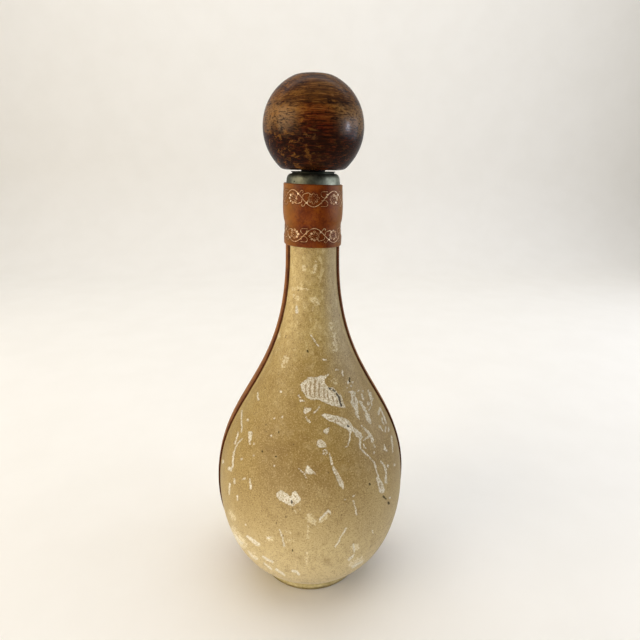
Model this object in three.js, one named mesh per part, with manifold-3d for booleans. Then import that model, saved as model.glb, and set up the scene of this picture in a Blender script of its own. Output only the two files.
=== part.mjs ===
// Leather-wrapped decanter: a glass bottle in a glued leather jacket, with a metal mouth and a ball stopper.
// Millimetres, +Z up. The origin is the middle of the foot, on the table, and the front panel faces -Y.
import * as THREE from "three";
import { mergeVertices } from "three/addons/utils/BufferGeometryUtils.js";
import Module from "manifold-3d";

// Glass bottle, heights above the glass foot
const FOOT_RADIUS = 32.4;
const FOOT_RIM = 7.4;
const HEEL_STEP = 0.7;
const HEEL_HEIGHT = 6.65;
const HEEL_FLARE = THREE.MathUtils.degToRad(61);
const BELLY_RADIUS = 57.8;
const BELLY_HEIGHT = 62;
const NECK_RADIUS = 12.7;
const RIM_HEIGHT = 252.45;
const GLASS_WALL = 3;
const GLASS_EDGE = 0.8;
const PUNT_HEIGHT = 6;
const BASE_WALL = 5;

// Fullness of the bottle's outline: each curve handle as a share of the height that its curve spans
const HEEL_SWEEP = 0.35;
const UNDERSIDE_FULLNESS = 0.4;
const SHOULDER_FULLNESS = 0.407;
const NECK_SWEEP = 0.549;

// Leather jacket
const LEATHER = 1.3;
const PANEL_SEAM = 0.8;
const STRIP_WIDTH = 11.4;
const STRIP_THICKNESS = 1;
const FOOT_BAND = 1.6;
const PAD_THICKNESS = 1.6;
const PAD_INSET = 0.4;
const LEATHER_EDGE = 0.35;
const BUTT_SEAM = 0.4;
const GLUE_LINE = 0.15;

// Neck band
const BAND_HEIGHT = 32.8;
const BAND_THICKNESS = 1.6;
const BAND_HEM = 0.8;
const BAND_WAIST = 8.8;
const BAND_EASE = 1.5;
const STRIP_TUCK = 5;
const NECK_REVEAL = 3.2;

// Metal ferrule
const FERRULE_WALL = 1.7;
const FERRULE_TOP = 1.5;
const SHOULDER_HEIGHT = 3.25;
const SHOULDER_REVEAL = 2.6;
const MOUTH_RELIEF = 0.3;
const THROAT_WALL = 1.5;
const LIP_FLARE = 0.7;
const LIP_HEIGHT = 0.95;
const LIP_EDGE = 0.3;

// Stopper
const BALL_RADIUS = 26.95;
const BALL_FLAT = THREE.MathUtils.degToRad(38.5);
const BALL_CROWN = THREE.MathUtils.degToRad(20);
const BALL_EDGE = 0.7;
const TENON_RADIUS = 4.5;
const TENON_LENGTH = 17;
const COLLAR_STEP = 2.1;
const COLLAR_SHOW = 1.05;
const COLLAR_SINK = 0.85;
const CORK_LENGTH = 24;
const CORK_TAPER = 0.8;
const CORK_FIT = 0.2;
const CORK_EDGE = 1;
const CORK_END = 5;

// Facets round the axis and along the curves
const SEGMENTS = 44;
const UNDERSIDE_STEPS = 6;
const SHOULDER_STEPS = 12;
const DOME_STEPS = 4;
const ROUND_STEPS = 3;
const BALL_STEPS = 11;

// Radii of the layers round the neck, from the glass outwards
const boreRadius = NECK_RADIUS - GLASS_WALL;
const panelInside = GLUE_LINE;
const panelOutside = panelInside + LEATHER;
const stripInside = panelOutside + GLUE_LINE;
const stripOutside = stripInside + STRIP_THICKNESS;
const skirtInside = NECK_RADIUS + GLUE_LINE;
const skirtOutside = skirtInside + FERRULE_WALL;
const mouthRadius = boreRadius + MOUTH_RELIEF;
const grooveRadius = mouthRadius + THROAT_WALL;
const lipRadius = grooveRadius + LIP_FLARE;

// Heights above the glass foot, from the mouth downwards
const ferruleSeat = RIM_HEIGHT + GLUE_LINE;
const shoulderTop = ferruleSeat + FERRULE_TOP;
const lipTop = shoulderTop + LIP_HEIGHT;
const shoulderStart = shoulderTop - SHOULDER_HEIGHT;
const bandTop = shoulderStart - SHOULDER_REVEAL;
const bandBottom = bandTop - BAND_HEIGHT;
const stripTop = bandBottom + STRIP_TUCK;
const skirtBottom = stripTop + BAND_WAIST;
const panelTop = skirtBottom - GLUE_LINE;
const neckStart = bandBottom - NECK_REVEAL;

const wasm = await Module();
wasm.setup();

const at = (radius, height) => new THREE.Vector2(radius, height);

// Positions only, with shared vertices merged and the collapsed triangles on the axis left out
function closedGeometry(source) {
  const bare = new THREE.BufferGeometry();
  bare.setAttribute("position", source.getAttribute("position"));
  bare.setIndex(source.index);
  const merged = mergeVertices(bare);
  const corners = merged.index.array;
  const kept = [];
  for (let i = 0; i < corners.length; i += 3) {
    const [a, b, c] = corners.slice(i, i + 3);
    if (a !== b && b !== c && c !== a) kept.push(a, b, c);
  }
  merged.setIndex(kept);
  return merged;
}

// A profile of radius and height, closed on itself or on the axis, turned about Z
function revolve(profile) {
  return closedGeometry(new THREE.LatheGeometry(profile, SEGMENTS).rotateX(Math.PI / 2));
}

// A closed loop of profile points
const ring = (points) => revolve([...points, points[0]]);

function toSolid(geometry) {
  const vertProperties = new Float32Array(geometry.getAttribute("position").array);
  const triVerts = new Uint32Array(geometry.index.array);
  return new wasm.Manifold(new wasm.Mesh({ numProp: 3, vertProperties, triVerts }));
}

function toGeometry(solid) {
  const { vertProperties, triVerts } = solid.getMesh();
  const geometry = new THREE.BufferGeometry();
  geometry.setAttribute("position", new THREE.BufferAttribute(vertProperties, 3));
  geometry.setIndex(new THREE.BufferAttribute(triVerts, 1));
  return geometry;
}

// A box between two corners, as a cutting tool
function block(low, high) {
  const size = high.clone().sub(low);
  const middle = low.clone().add(high).multiplyScalar(0.5);
  const box = new THREE.BoxGeometry(size.x, size.y, size.z);
  return toSolid(closedGeometry(box.translate(middle.x, middle.y, middle.z)));
}

// A quarter of an ellipse from one point to another, leaving the first one upright
function quarterRound(from, to, steps = ROUND_STEPS) {
  const points = [];
  for (let i = 0; i <= steps; i += 1) {
    const turn = (i / steps) * (Math.PI / 2);
    const radius = to.x + (from.x - to.x) * Math.cos(turn);
    points.push(at(radius, from.y + (to.y - from.y) * Math.sin(turn)));
  }
  return points;
}

// A shallow dome from the axis out to its edge
function dome(radius, crownHeight, edgeHeight) {
  const points = [];
  for (let i = 0; i <= DOME_STEPS; i += 1) {
    const share = i / DOME_STEPS;
    points.push(at(radius * share, crownHeight + (edgeHeight - crownHeight) * share ** 2));
  }
  return points;
}

// The glass outside from heel to neck: a curve up to the belly and one up to the neck, with outward normals
function outlineStations() {
  const heel = at(FOOT_RADIUS + HEEL_STEP, HEEL_HEIGHT);
  const belly = at(BELLY_RADIUS, BELLY_HEIGHT);
  const neck = at(NECK_RADIUS, neckStart);
  const underSpan = belly.y - heel.y;
  const shoulderSpan = neck.y - belly.y;
  const flare = at(Math.sin(HEEL_FLARE), Math.cos(HEEL_FLARE));
  const underside = new THREE.CubicBezierCurve(
    heel,
    heel.clone().addScaledVector(flare, HEEL_SWEEP * underSpan),
    at(belly.x, belly.y - UNDERSIDE_FULLNESS * underSpan),
    belly,
  );
  const shoulder = new THREE.CubicBezierCurve(
    belly,
    at(belly.x, belly.y + SHOULDER_FULLNESS * shoulderSpan),
    at(neck.x, neck.y - NECK_SWEEP * shoulderSpan),
    neck,
  );
  const stations = [];
  const walk = (curve, steps, first) => {
    for (let i = first; i <= steps; i += 1) {
      const tangent = curve.getTangentAt(i / steps);
      stations.push({ point: curve.getPointAt(i / steps), normal: at(tangent.y, -tangent.x) });
    }
  };
  walk(underside, UNDERSIDE_STEPS, 0);
  walk(shoulder, SHOULDER_STEPS, 1);
  return stations;
}

const stations = outlineStations();

// The bottle's outline moved out by a distance, and carried straight up the neck to a height
function layer(distance, top) {
  const points = stations.map(({ point, normal }) => point.clone().addScaledVector(normal, distance));
  points.push(at(NECK_RADIUS + distance, top));
  return points;
}

// A coat that follows the bottle between two distances from the glass
const coat = (inside, outside, top) => ring([...layer(outside, top), ...layer(inside, top).reverse()]);

// A collar with its outer edges eased, closed by a butt seam at the back
function wrappedCollar(points) {
  const collar = toSolid(ring(points));
  const reach = BELLY_RADIUS;
  const slit = block(
    new THREE.Vector3(-BUTT_SEAM / 2, 0, -reach),
    new THREE.Vector3(BUTT_SEAM / 2, reach, RIM_HEIGHT + reach),
  );
  return toGeometry(collar.subtract(slit));
}

// Glass bottle: a foot ring round a punt, the blown body, and a straight neck with eased rim
function glassBottle() {
  const heelRun = HEEL_STEP / Math.tan(HEEL_FLARE);
  const inside = layer(-GLASS_WALL, RIM_HEIGHT - GLASS_EDGE).reverse();
  const floorEdge = inside.at(-1);
  const floor = dome(floorEdge.x, PUNT_HEIGHT + BASE_WALL, floorEdge.y).reverse();
  return revolve([
    ...dome(FOOT_RADIUS - FOOT_RIM, PUNT_HEIGHT, 0),
    at(FOOT_RADIUS - GLASS_EDGE, 0),
    at(FOOT_RADIUS, GLASS_EDGE),
    at(FOOT_RADIUS, HEEL_HEIGHT - heelRun),
    ...layer(0, RIM_HEIGHT - GLASS_EDGE),
    at(NECK_RADIUS - GLASS_EDGE, RIM_HEIGHT),
    at(boreRadius + GLASS_EDGE, RIM_HEIGHT),
    ...inside,
    ...floor.slice(1),
  ]);
}

// Leather panels: one coat over the glass, parted into a front and a back half along the two side seams
function leatherPanel(side) {
  const jacket = toSolid(coat(panelInside, panelOutside, panelTop));
  const reach = BELLY_RADIUS + panelOutside + LEATHER;
  const near = (side * PANEL_SEAM) / 2;
  const far = side * reach;
  const half = block(
    new THREE.Vector3(-reach, Math.min(near, far), 0),
    new THREE.Vector3(reach, Math.max(near, far), RIM_HEIGHT),
  );
  return toGeometry(jacket.intersect(half));
}

// Side strip: a ribbon of even width that rides over one seam, from the heel to under the neck band
function sideStrip(side) {
  const overlay = toSolid(coat(stripInside, stripOutside, stripTop));
  const reach = BELLY_RADIUS + stripOutside + STRIP_THICKNESS;
  const ribbon = block(
    new THREE.Vector3(Math.min(0, side * reach), -STRIP_WIDTH / 2, -reach),
    new THREE.Vector3(Math.max(0, side * reach), STRIP_WIDTH / 2, RIM_HEIGHT),
  );
  return toGeometry(overlay.intersect(ribbon));
}

// Foot band: a low collar round the glass foot, below the jacket's lower edge
function footBand() {
  const heel = stations[0];
  const top = heel.point.y + heel.normal.y * stripOutside - GLUE_LINE;
  const inside = FOOT_RADIUS + GLUE_LINE;
  const outside = inside + FOOT_BAND;
  return wrappedCollar([
    at(inside, 0),
    at(outside - LEATHER_EDGE, 0),
    at(outside, LEATHER_EDGE),
    at(outside, top - LEATHER_EDGE),
    at(outside - LEATHER_EDGE, top),
    at(inside, top),
  ]);
}

// Base pad: a disc under the glass foot and the foot band, heights above the table
function basePad() {
  const radius = FOOT_RADIUS + GLUE_LINE + FOOT_BAND - PAD_INSET;
  return revolve([
    at(0, 0),
    at(radius - LEATHER_EDGE, 0),
    at(radius, LEATHER_EDGE),
    at(radius, PAD_THICKNESS),
    at(0, PAD_THICKNESS),
  ]);
}

// Neck band: wide over the ferrule's skirt, drawn in over the panels, and thin over the tops of the strips
function neckBand() {
  const overSkirt = skirtOutside + GLUE_LINE;
  const overWaist = NECK_RADIUS + panelOutside + GLUE_LINE;
  const overStrip = NECK_RADIUS + stripOutside + GLUE_LINE;
  const strip = stripTop + GLUE_LINE;
  const skirt = skirtBottom - GLUE_LINE;
  const inner = [
    at(overStrip, bandBottom),
    at(overStrip, strip),
    at(overWaist, strip + BAND_EASE),
    at(overWaist, skirt - BAND_EASE),
    at(overSkirt, skirt),
    at(overSkirt, bandTop),
  ];
  const hem = overStrip + BAND_HEM;
  const waist = overWaist + BAND_THICKNESS;
  const broad = overSkirt + BAND_THICKNESS;
  const outer = [
    at(hem - LEATHER_EDGE, bandBottom),
    at(hem, bandBottom + LEATHER_EDGE),
    at(hem, strip),
    at(waist, strip + BAND_EASE),
    at(waist, skirt - BAND_EASE),
    at(broad, skirt),
    at(broad, bandTop - LEATHER_EDGE),
    at(broad - LEATHER_EDGE, bandTop),
  ];
  return wrappedCollar([...outer, ...inner.reverse()]);
}

// Ferrule: a skirt round the glass neck, a round shoulder over the rim, a groove and a thin flared lip
function neckFerrule() {
  const lipUnder = lipTop - LIP_EDGE;
  return ring([
    at(skirtInside, skirtBottom),
    at(skirtOutside, skirtBottom),
    ...quarterRound(at(skirtOutside, shoulderStart), at(grooveRadius, shoulderTop)),
    ...quarterRound(at(grooveRadius, shoulderTop + LIP_EDGE), at(lipRadius, lipUnder)).slice(1),
    at(lipRadius, lipTop - LIP_EDGE / 2),
    at(lipRadius - LIP_EDGE / 2, lipTop),
    ...quarterRound(at(mouthRadius, shoulderTop), at(grooveRadius, lipTop)).reverse(),
    at(mouthRadius, ferruleSeat),
    at(skirtInside, ferruleSeat),
  ]);
}

// Stopper ball: a turned sphere, flat below and a little on top, with a blind socket, from its lower flat up
function stopperBall() {
  const centre = BALL_RADIUS * Math.cos(BALL_FLAT);
  const crown = centre + BALL_RADIUS * Math.cos(BALL_CROWN);
  const socket = TENON_RADIUS + GLUE_LINE;
  const eased = BALL_EDGE / BALL_RADIUS;
  const start = BALL_FLAT + eased;
  const end = Math.PI - BALL_CROWN - eased;
  const round = [];
  for (let i = 0; i <= BALL_STEPS; i += 1) {
    const turn = start + (i / BALL_STEPS) * (end - start);
    round.push(at(BALL_RADIUS * Math.sin(turn), centre - BALL_RADIUS * Math.cos(turn)));
  }
  return revolve([
    at(0, TENON_LENGTH + GLUE_LINE),
    at(socket, TENON_LENGTH + GLUE_LINE),
    at(socket, 0),
    at(BALL_RADIUS * Math.sin(BALL_FLAT) - BALL_EDGE, 0),
    ...round,
    at(BALL_RADIUS * Math.sin(BALL_CROWN) - BALL_EDGE, crown),
    at(0, crown),
  ]);
}

// Stopper shank: a collar that shows under the ball, with a tenon up into the ball and one down into the cork
function stopperShank() {
  const collarRadius = TENON_RADIUS + COLLAR_STEP;
  const collarBottom = -COLLAR_SHOW - COLLAR_SINK;
  const lowerEnd = collarBottom - CORK_LENGTH + CORK_END;
  return revolve([
    at(0, lowerEnd),
    at(TENON_RADIUS, lowerEnd),
    at(TENON_RADIUS, collarBottom),
    at(collarRadius, collarBottom),
    at(collarRadius, -GLUE_LINE),
    at(TENON_RADIUS, -GLUE_LINE),
    at(TENON_RADIUS, TENON_LENGTH),
    at(0, TENON_LENGTH),
  ]);
}

// Cork plug: a tapered cork with a blind hole for the lower tenon
function corkPlug() {
  const top = -COLLAR_SHOW - COLLAR_SINK - GLUE_LINE;
  const bottom = top - CORK_LENGTH;
  const topRadius = boreRadius - CORK_FIT;
  const bottomRadius = topRadius - CORK_TAPER;
  const hole = TENON_RADIUS + GLUE_LINE;
  return revolve([
    at(0, bottom),
    at(bottomRadius - CORK_EDGE, bottom),
    at(bottomRadius, bottom + CORK_EDGE),
    at(topRadius, top),
    at(hole, top),
    at(hole, bottom + CORK_END),
    at(0, bottom + CORK_END),
  ]);
}

function piece(name, geometry, finish) {
  geometry.computeVertexNormals();
  const mesh = new THREE.Mesh(geometry, new THREE.MeshStandardMaterial(finish));
  mesh.name = name;
  return mesh;
}

// Finishes
const GLASS = { color: "#b9c4b4", roughness: 0.08, metalness: 0 };
const CREAM_LEATHER = { color: "#b89a6c", roughness: 0.5, metalness: 0 };
const BROWN_LEATHER = { color: "#4a2b1b", roughness: 0.45, metalness: 0 };
const OLIVE_LEATHER = { color: "#7d6a43", roughness: 0.6, metalness: 0 };
const PEWTER = { color: "#6b6a60", roughness: 0.42, metalness: 1 };
const WALNUT = { color: "#3a2116", roughness: 0.35, metalness: 0 };
const EBONISED = { color: "#15110f", roughness: 0.4, metalness: 0 };
const CORK = { color: "#a97f55", roughness: 0.9, metalness: 0 };

const stopper = new THREE.Group();
stopper.add(
  piece("stopper_ball", stopperBall(), WALNUT),
  piece("stopper_shank", stopperShank(), EBONISED),
  piece("cork_plug", corkPlug(), CORK),
);
stopper.position.z = lipTop + COLLAR_SHOW;

const bottle = new THREE.Group();
bottle.add(
  piece("glass_bottle", glassBottle(), GLASS),
  piece("front_leather_panel", leatherPanel(-1), CREAM_LEATHER),
  piece("back_leather_panel", leatherPanel(1), CREAM_LEATHER),
  piece("left_side_strip", sideStrip(-1), BROWN_LEATHER),
  piece("right_side_strip", sideStrip(1), BROWN_LEATHER),
  piece("foot_band", footBand(), OLIVE_LEATHER),
  piece("neck_band", neckBand(), BROWN_LEATHER),
  piece("neck_ferrule", neckFerrule(), PEWTER),
  stopper,
);
bottle.position.z = PAD_THICKNESS + GLUE_LINE;

const decanter = new THREE.Group();
decanter.add(piece("base_pad", basePad(), OLIVE_LEATHER), bottle);

export default decanter;
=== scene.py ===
# Looks of a leather-wrapped decanter: aged cream panels, brown strips, a gold-tooled neck band,
# a metal mouth and a turned ball stopper. Metres, +Z up, front towards -Y.
import math

import bpy
import numpy as np
from mathutils import Matrix, Vector
from mathutils.kdtree import KDTree


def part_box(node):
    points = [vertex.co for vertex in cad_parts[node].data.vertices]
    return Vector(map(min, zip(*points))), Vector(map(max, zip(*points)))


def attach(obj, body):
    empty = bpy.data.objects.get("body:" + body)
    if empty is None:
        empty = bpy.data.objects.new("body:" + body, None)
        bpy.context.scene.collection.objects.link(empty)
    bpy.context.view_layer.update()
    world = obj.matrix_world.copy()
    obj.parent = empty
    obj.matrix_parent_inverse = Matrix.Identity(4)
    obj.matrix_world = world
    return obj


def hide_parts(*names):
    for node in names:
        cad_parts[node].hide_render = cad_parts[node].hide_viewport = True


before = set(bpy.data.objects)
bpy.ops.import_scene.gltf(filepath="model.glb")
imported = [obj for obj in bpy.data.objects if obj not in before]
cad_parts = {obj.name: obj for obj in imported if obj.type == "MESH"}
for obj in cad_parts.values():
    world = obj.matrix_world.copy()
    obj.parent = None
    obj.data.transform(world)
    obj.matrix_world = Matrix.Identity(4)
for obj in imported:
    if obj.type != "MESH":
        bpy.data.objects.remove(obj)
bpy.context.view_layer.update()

MM = 0.001
SEED = 11
TINY = 1e-9
PLANE_GAP = 0.01 * MM

# Camera, fitted to the photograph: image sizes in pixels, the sensor in mm, places in metres
IMAGE_SIDE = 640
FOCAL_PIXELS = 481
SENSOR_WIDTH = 36
CLIP_START = 0.01
CAMERA_PLACE = Vector((-0.0192, -0.2744, 0.2602))
CAMERA_PITCH = math.radians(17.86)
CAMERA_HEADING = math.radians(-5.0)
CAMERA_ROLL = math.radians(0.75)

# Stage, in metres: a floor that sweeps up into a wall
FLOOR_FRONT = -3.0
FLOOR_MIDDLE = -1.0
WALL_PLACE = 1.1
WALL_TOP = 1.6
SWEEP_BEND = 0.25
SWEEP_STEPS = 12
SWEEP_REACH = 3.0

# Lights: place, target, width and height, power, colour. The sky is dimmer towards the front.
OBJECT_MIDDLE = (0, 0, 0.15)
LIGHTS = {
    "window_left": ((-1.0, -0.42, 0.52), OBJECT_MIDDLE, (0.8, 0.8), 7.0, "#ffedd2"),
    "window_right": ((1.0, -0.1, 0.3), OBJECT_MIDDLE, (1.0, 0.5), 4.7, "#e2e9fb"),
    "ceiling": ((0, 0.15, 1.5), OBJECT_MIDDLE, (1.8, 1.4), 10, "#ffffff"),
    "wall_wash": ((0, 0.5, 1.3), (0, 1.1, 0.4), (2.4, 0.4), 4.4, "#ffffff"),
    "floor_bounce": ((-0.22, -0.4, 0.015), (0, 0, 0.05), (0.7, 0.3), 2.9, "#ffffff"),
    "glint_right": ((0.974, -0.222, 0.319), (0, 0, 0.279), (0.09, 0.18), 3.3, "#e6ebff"),
}
SKY_TURN = (-0.9, 0.2)
SKY_STRENGTH = (0.14, 0.5)
SEEN_SKY_STRENGTH = 0.85

# Finer steps of the turned and wrapped surfaces
ROUND_COLUMNS = 128
PROFILE_STEP = 0.8 * MM
BAND_STEP = 0.5 * MM
FERRULE_STEP = 0.35 * MM
CORNER_ANGLE = math.radians(36)
SHARP_ANGLE = math.radians(38)
FOIL_SHARP_ANGLE = math.radians(60)
FRONT_COLUMNS = 280
BACK_COLUMNS = 150
PANEL_ROWS_PER_STATION = 15
LINING_STRIDE = 8
STRIP_ROWS_PER_STATION = 10
STRIP_CORNER = [math.radians(angle) for angle in (30, 60, 90)]
STRIP_POINTS = 9

# Leather sizes. A panel's swell eases off towards its sides by a factor, and its lowest rows have none.
SEAM_HALF = 0.4 * MM
STRIP_HALF = 5.7 * MM
STRIP_ROUNDING = 0.32 * MM
STRIP_CROWN = 0.05 * MM
STRIP_RIM = 0.7 * MM
BUTT_HALF = 0.2 * MM
LEATHER_SWELL = 0.16 * MM
HIGHEST_SWELL = 0.1 * MM
EDGE_EASE = 12
EASED_ROWS = 3

# Wear of the panels. How deep a point lies inside a mark is counted in pixels of the photograph.
OUTSIDE = -9.0
FLAKE_DEPTH = 0.16 * MM
FLAKE_RIM = 0.5
WEAR_WOBBLE = 1.2
PATCH_SPREAD = 0.35
FINEST_MARK = 1.5
FINEST_SPECK = 2.2

# Random wear of the back: number of marks, half width and half length in mm, and how they vary
BACK_WEAR = {"flake": (46, 0.9, 7), "rub": (34, 2.2, 6), "dark": (12, 0.6, 2), "score": (10, 0.3, 3)}
BACK_HEIGHTS = (0.04, 0.8)
BACK_CROWDING = 1.2
BACK_TURN = 1.3
BACK_LEAN = (0.2, 0.5)
BACK_LENGTHS = (0.1, 1)
BACK_WIDTHS = (0.5, 1.6)
BACK_TAPER = 0.6
BACK_PIXEL = 0.6 * MM

# Tones of the cream panels. A spot is middle height and reach, then middle angle and reach: painted shade
# on the belly, painted light on one side of the neck. The other tones start and are full at two places.
BELLY_SHADE_SPOT = (107 * MM, 36 * MM, math.radians(11), math.radians(62))
NECK_LIGHT_SPOT = (200 * MM, 45 * MM, math.radians(-55), math.radians(34))
# Painted light beside the strips, where their raised edges cast shade: how far it reaches
STRIP_SIDE_LIGHT_REACH = 3 * MM
# Painted light from the floor, low on the body: where it starts and is full
FLOOR_LIGHT_FADE = (112 * MM, 24 * MM)
NECK_FADE = (120 * MM, 190 * MM)
# Painted cool sheen on the right of the neck: where it starts and is full along X
NECK_SHEEN_SIDE = (2 * MM, 13 * MM)
HELD_LOW = (40 * MM, 75 * MM)
HELD_HIGH = (135 * MM, 100 * MM)
HELD_SIDE = (-18 * MM, -48 * MM)
LIVELY_FADE = (110 * MM, 190 * MM)

# Painted shade on the foot, by height: in the crease under the panels, and along the floor
FOOT_CREASE_SHADE = (5.4 * MM, 7.4 * MM)
FOOT_FLOOR_SHADE = (2.8 * MM, 1.2 * MM)

# Ferrule: its punch mark, painted dark for the shade in its dent, and the grime and painted shade of its
# lip, as where it starts and is full below the lip, and its share
PUNCH_PLACE = (-10.43 * MM, -9.92 * MM, 251.7 * MM)
PUNCH_RADIUS = 0.55 * MM
PUNCH_FLOOR = 0.5 * PUNCH_RADIUS
LIP_SHADE_AND_GRIME = ((2.2 * MM, 1.4 * MM, 0.2), (1.2 * MM, 0.9 * MM, 0.7))

# Ball: dark lines, as place and half width in shares of its height, and darkness, and the share of a line
# that is full. Tan sides, wood colour with painted sheen, as where they start and are full, share and
# colour.
# Then where other tones do.
RING_LINES = ((0.785, 0.018, 0.55), (0.752, 0.016, 0.9), (0.735, 0.03, 0.4))
RING_CORE = 0.2
TAN_SHEEN_SIDES = ((-4 * MM, -19 * MM, 0.68, "#8d6a42"), (6 * MM, 18 * MM, 0.57, "#866a49"))
WAIST_MIDDLE = (12 * MM, 3 * MM)
WAIST_FRONT = (10 * MM, -14 * MM)
FLECKED_SIDE = (5 * MM, -13 * MM)

# Neck band: its face, unevenness and slant
BAND_COLUMNS = 220
BAND_FACE = 0.8 * MM
BAND_SWELL_RADIUS = 16 * MM
BAND_UNEVENNESS = 0.09 * MM
BAND_LIFT = 0.2 * MM
BAND_STRETCH = 0.26 * MM
BAND_SLANT = 0.026
PRESS_REACH = 0.9 * MM

# Gold tooling, whose vine has one motif in each bend. Outlines of the motif are in mm, and a knot is its
# place in mm and its painted highlight. A painted highlight lays near-white on the foil.
VINE_BEND = math.radians(41.5)
VINE_REACH = math.radians(177)
VINE_STEP = 0.4 * MM
TOOL_STEP = 0.3 * MM
MOTIFS_EACH_WAY = 3
UPPER_BORDER_DROP = 7.1 * MM
UPPER_VINE_RISE = 4.05 * MM
UPPER_VINE_TURN = math.radians(-3.1)
LOWER_BORDER_RISE = 6.6 * MM
LOWER_VINE_RISE = 3.8 * MM
LOWER_VINE_TURN = math.radians(-0.3)
LOWER_BOLDNESS = 0.4
VINE_WIDTH = 0.42 * MM
VINE_PAINTED_HIGHLIGHT = 0.2
TENDRIL_WIDTH = 0.32 * MM
TENDRIL_PAINTED_HIGHLIGHT = 0.1
KNOT_WIDTH = 1.0 * MM
KNOT_HALF = 0.45
FOIL_SECTION = ((0.5, -0.02 * MM), (0, 0.06 * MM), (-0.5, -0.02 * MM), (0, -0.1 * MM))
FLOWER_PETALS = 8
FLOWER_SEEDS = 5
FLOWER_LIFT = 0.4 * MM
PETAL = ((1.8, -0.2), (2.45, -0.26), (2.9, 0), (2.45, 0.26), (1.8, 0.2))
PETAL_JITTER = 0.07
PETAL_PAINTED_HIGHLIGHT = 0.2
DAB = (1.75 * MM, 2.7 * MM)
DAB_WIDTHS = (0.186 * MM, 0.744 * MM)
DAB_PAINTED_HIGHLIGHT = 0.35
SEED_RING = 0.9 * MM
SEED_LENGTH = 0.35 * MM
SEED_PAINTED_HIGHLIGHT = 0.2
MOTIF_RISE = 4.5 * MM
MOTIF_LINES = {
    "arc": ((-5.7, 0.5), (-5.5, 2.0), (-3.8, 2.9), (-2.2, 3.1), (-1.7, 2.3)),
    "loop": ((7.7, 1.0), (5.6, 0.7), (4.0, 2.2), (4.4, 3.8), (6.1, 4.15), (7.9, 4.1)),
    "sprig": ((-8.4, 2.4), (-7.4, 3.1), (-6.8, 4.2), (-6.0, 4.4), (-5.5, 3.8), (-6.0, 3.1)),
    "stem": ((-8.4, 2.4), (-8.9, 1.3), (-9.7, 0.1)),
}
MOTIF_KNOTS = ((-8.4, 2.4, 0.7), (4.2, -2.4, 0.1))


# Camera
def camera_matrix():
    turn = Matrix.Rotation(CAMERA_HEADING, 4, "Z")
    tilt = Matrix.Rotation(math.pi / 2 - CAMERA_PITCH, 4, "X")
    roll = Matrix.Rotation(CAMERA_ROLL, 4, "Z")
    return Matrix.Translation(CAMERA_PLACE) @ turn @ tilt @ roll


def make_camera():
    data = bpy.data.cameras.new("photo_camera")
    data.sensor_width = SENSOR_WIDTH
    data.lens = FOCAL_PIXELS * SENSOR_WIDTH / IMAGE_SIDE
    data.clip_start = CLIP_START
    camera = bpy.data.objects.new("photo_camera", data)
    camera.matrix_world = camera_matrix()
    bpy.context.scene.collection.objects.link(camera)
    bpy.context.scene.camera = camera


def photo_pixels(points):
    """Where points of the scene lie in the photograph, in pixels."""
    inverse = np.array(camera_matrix().inverted())
    local = points @ inverse[:3, :3].T + inverse[:3, 3]
    scale = FOCAL_PIXELS / -local[:, 2]
    return np.stack([IMAGE_SIDE / 2 + local[:, 0] * scale, IMAGE_SIDE / 2 - local[:, 1] * scale], axis=1)


# Profiles read from the frame
def meridian(node, towards):
    """The outline of a turned node in a half plane from the axis, as radius and height in order."""
    across = np.array([-towards[1], towards[0]])
    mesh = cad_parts[node].data
    points = np.array([v.co for v in mesh.vertices])
    flat = points[:, :2]
    on_plane = (np.abs(flat @ across) < PLANE_GAP) & (flat @ np.array(towards) > -PLANE_GAP)
    keys = [tuple(np.round([math.hypot(p[0], p[1]), p[2]], 6)) for p in points]
    links = {}
    for edge in mesh.edges:
        a, b = edge.vertices
        if on_plane[a] and on_plane[b] and keys[a] != keys[b]:
            links.setdefault(keys[a], set()).add(keys[b])
            links.setdefault(keys[b], set()).add(keys[a])
    ends = sorted(key for key in links if len(links[key]) == 1)
    start = min(ends, key=lambda k: k[1]) if ends else min(links, key=lambda k: (k[1], -k[0]))
    chain = [start]
    step = max(links[start])
    while step is not None:
        chain.append(step)
        left = [key for key in links[step] if key not in chain]
        step = max(left) if left else None
    return np.array(chain)


def smooth_chain(points, closed=False, step=PROFILE_STEP, pieces=None, corner=CORNER_ANGLE):
    """More points along a chain: bends flow smoothly through, and corners stay corners."""
    points = np.array(points, float)
    count = len(points)
    after = np.roll(points, -1, axis=0) - points
    lengths = np.linalg.norm(after, axis=1)
    ways = after / np.maximum(lengths, TINY)[:, None]
    dense = []
    last = count if closed else count - 1
    for i in range(last):
        arriving = ways[i - 1] if closed or i > 0 else ways[i]
        leaving = ways[(i + 1) % count] if closed or i + 1 < last else ways[i]
        here = ways[i]
        start = here if here @ arriving < math.cos(corner) else here + arriving
        end = here if here @ leaving < math.cos(corner) else here + leaving
        start = start / np.linalg.norm(start) * lengths[i]
        end = end / np.linalg.norm(end) * lengths[i]
        a, b = points[i], points[(i + 1) % count]
        parts = pieces or max(1, math.ceil(lengths[i] / step))
        for t in np.arange(parts) / parts:
            dense.append(
                a * (2 * t**3 - 3 * t**2 + 1) + start * (t**3 - 2 * t**2 + t)
                + b * (3 * t**2 - 2 * t**3) + end * (t**3 - t**2)
            )
    if not closed:
        dense.append(points[-1])
    return np.array(dense)


def coat_chains(node, towards, pieces):
    """The outside and the inside of a layer on the bottle, both from the heel up, point for point."""
    loop = meridian(node, towards)
    half = len(loop) // 2
    outside, inside = loop[:half], loop[half:][::-1]
    return smooth_chain(outside, pieces=pieces), smooth_chain(inside, pieces=pieces)


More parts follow.
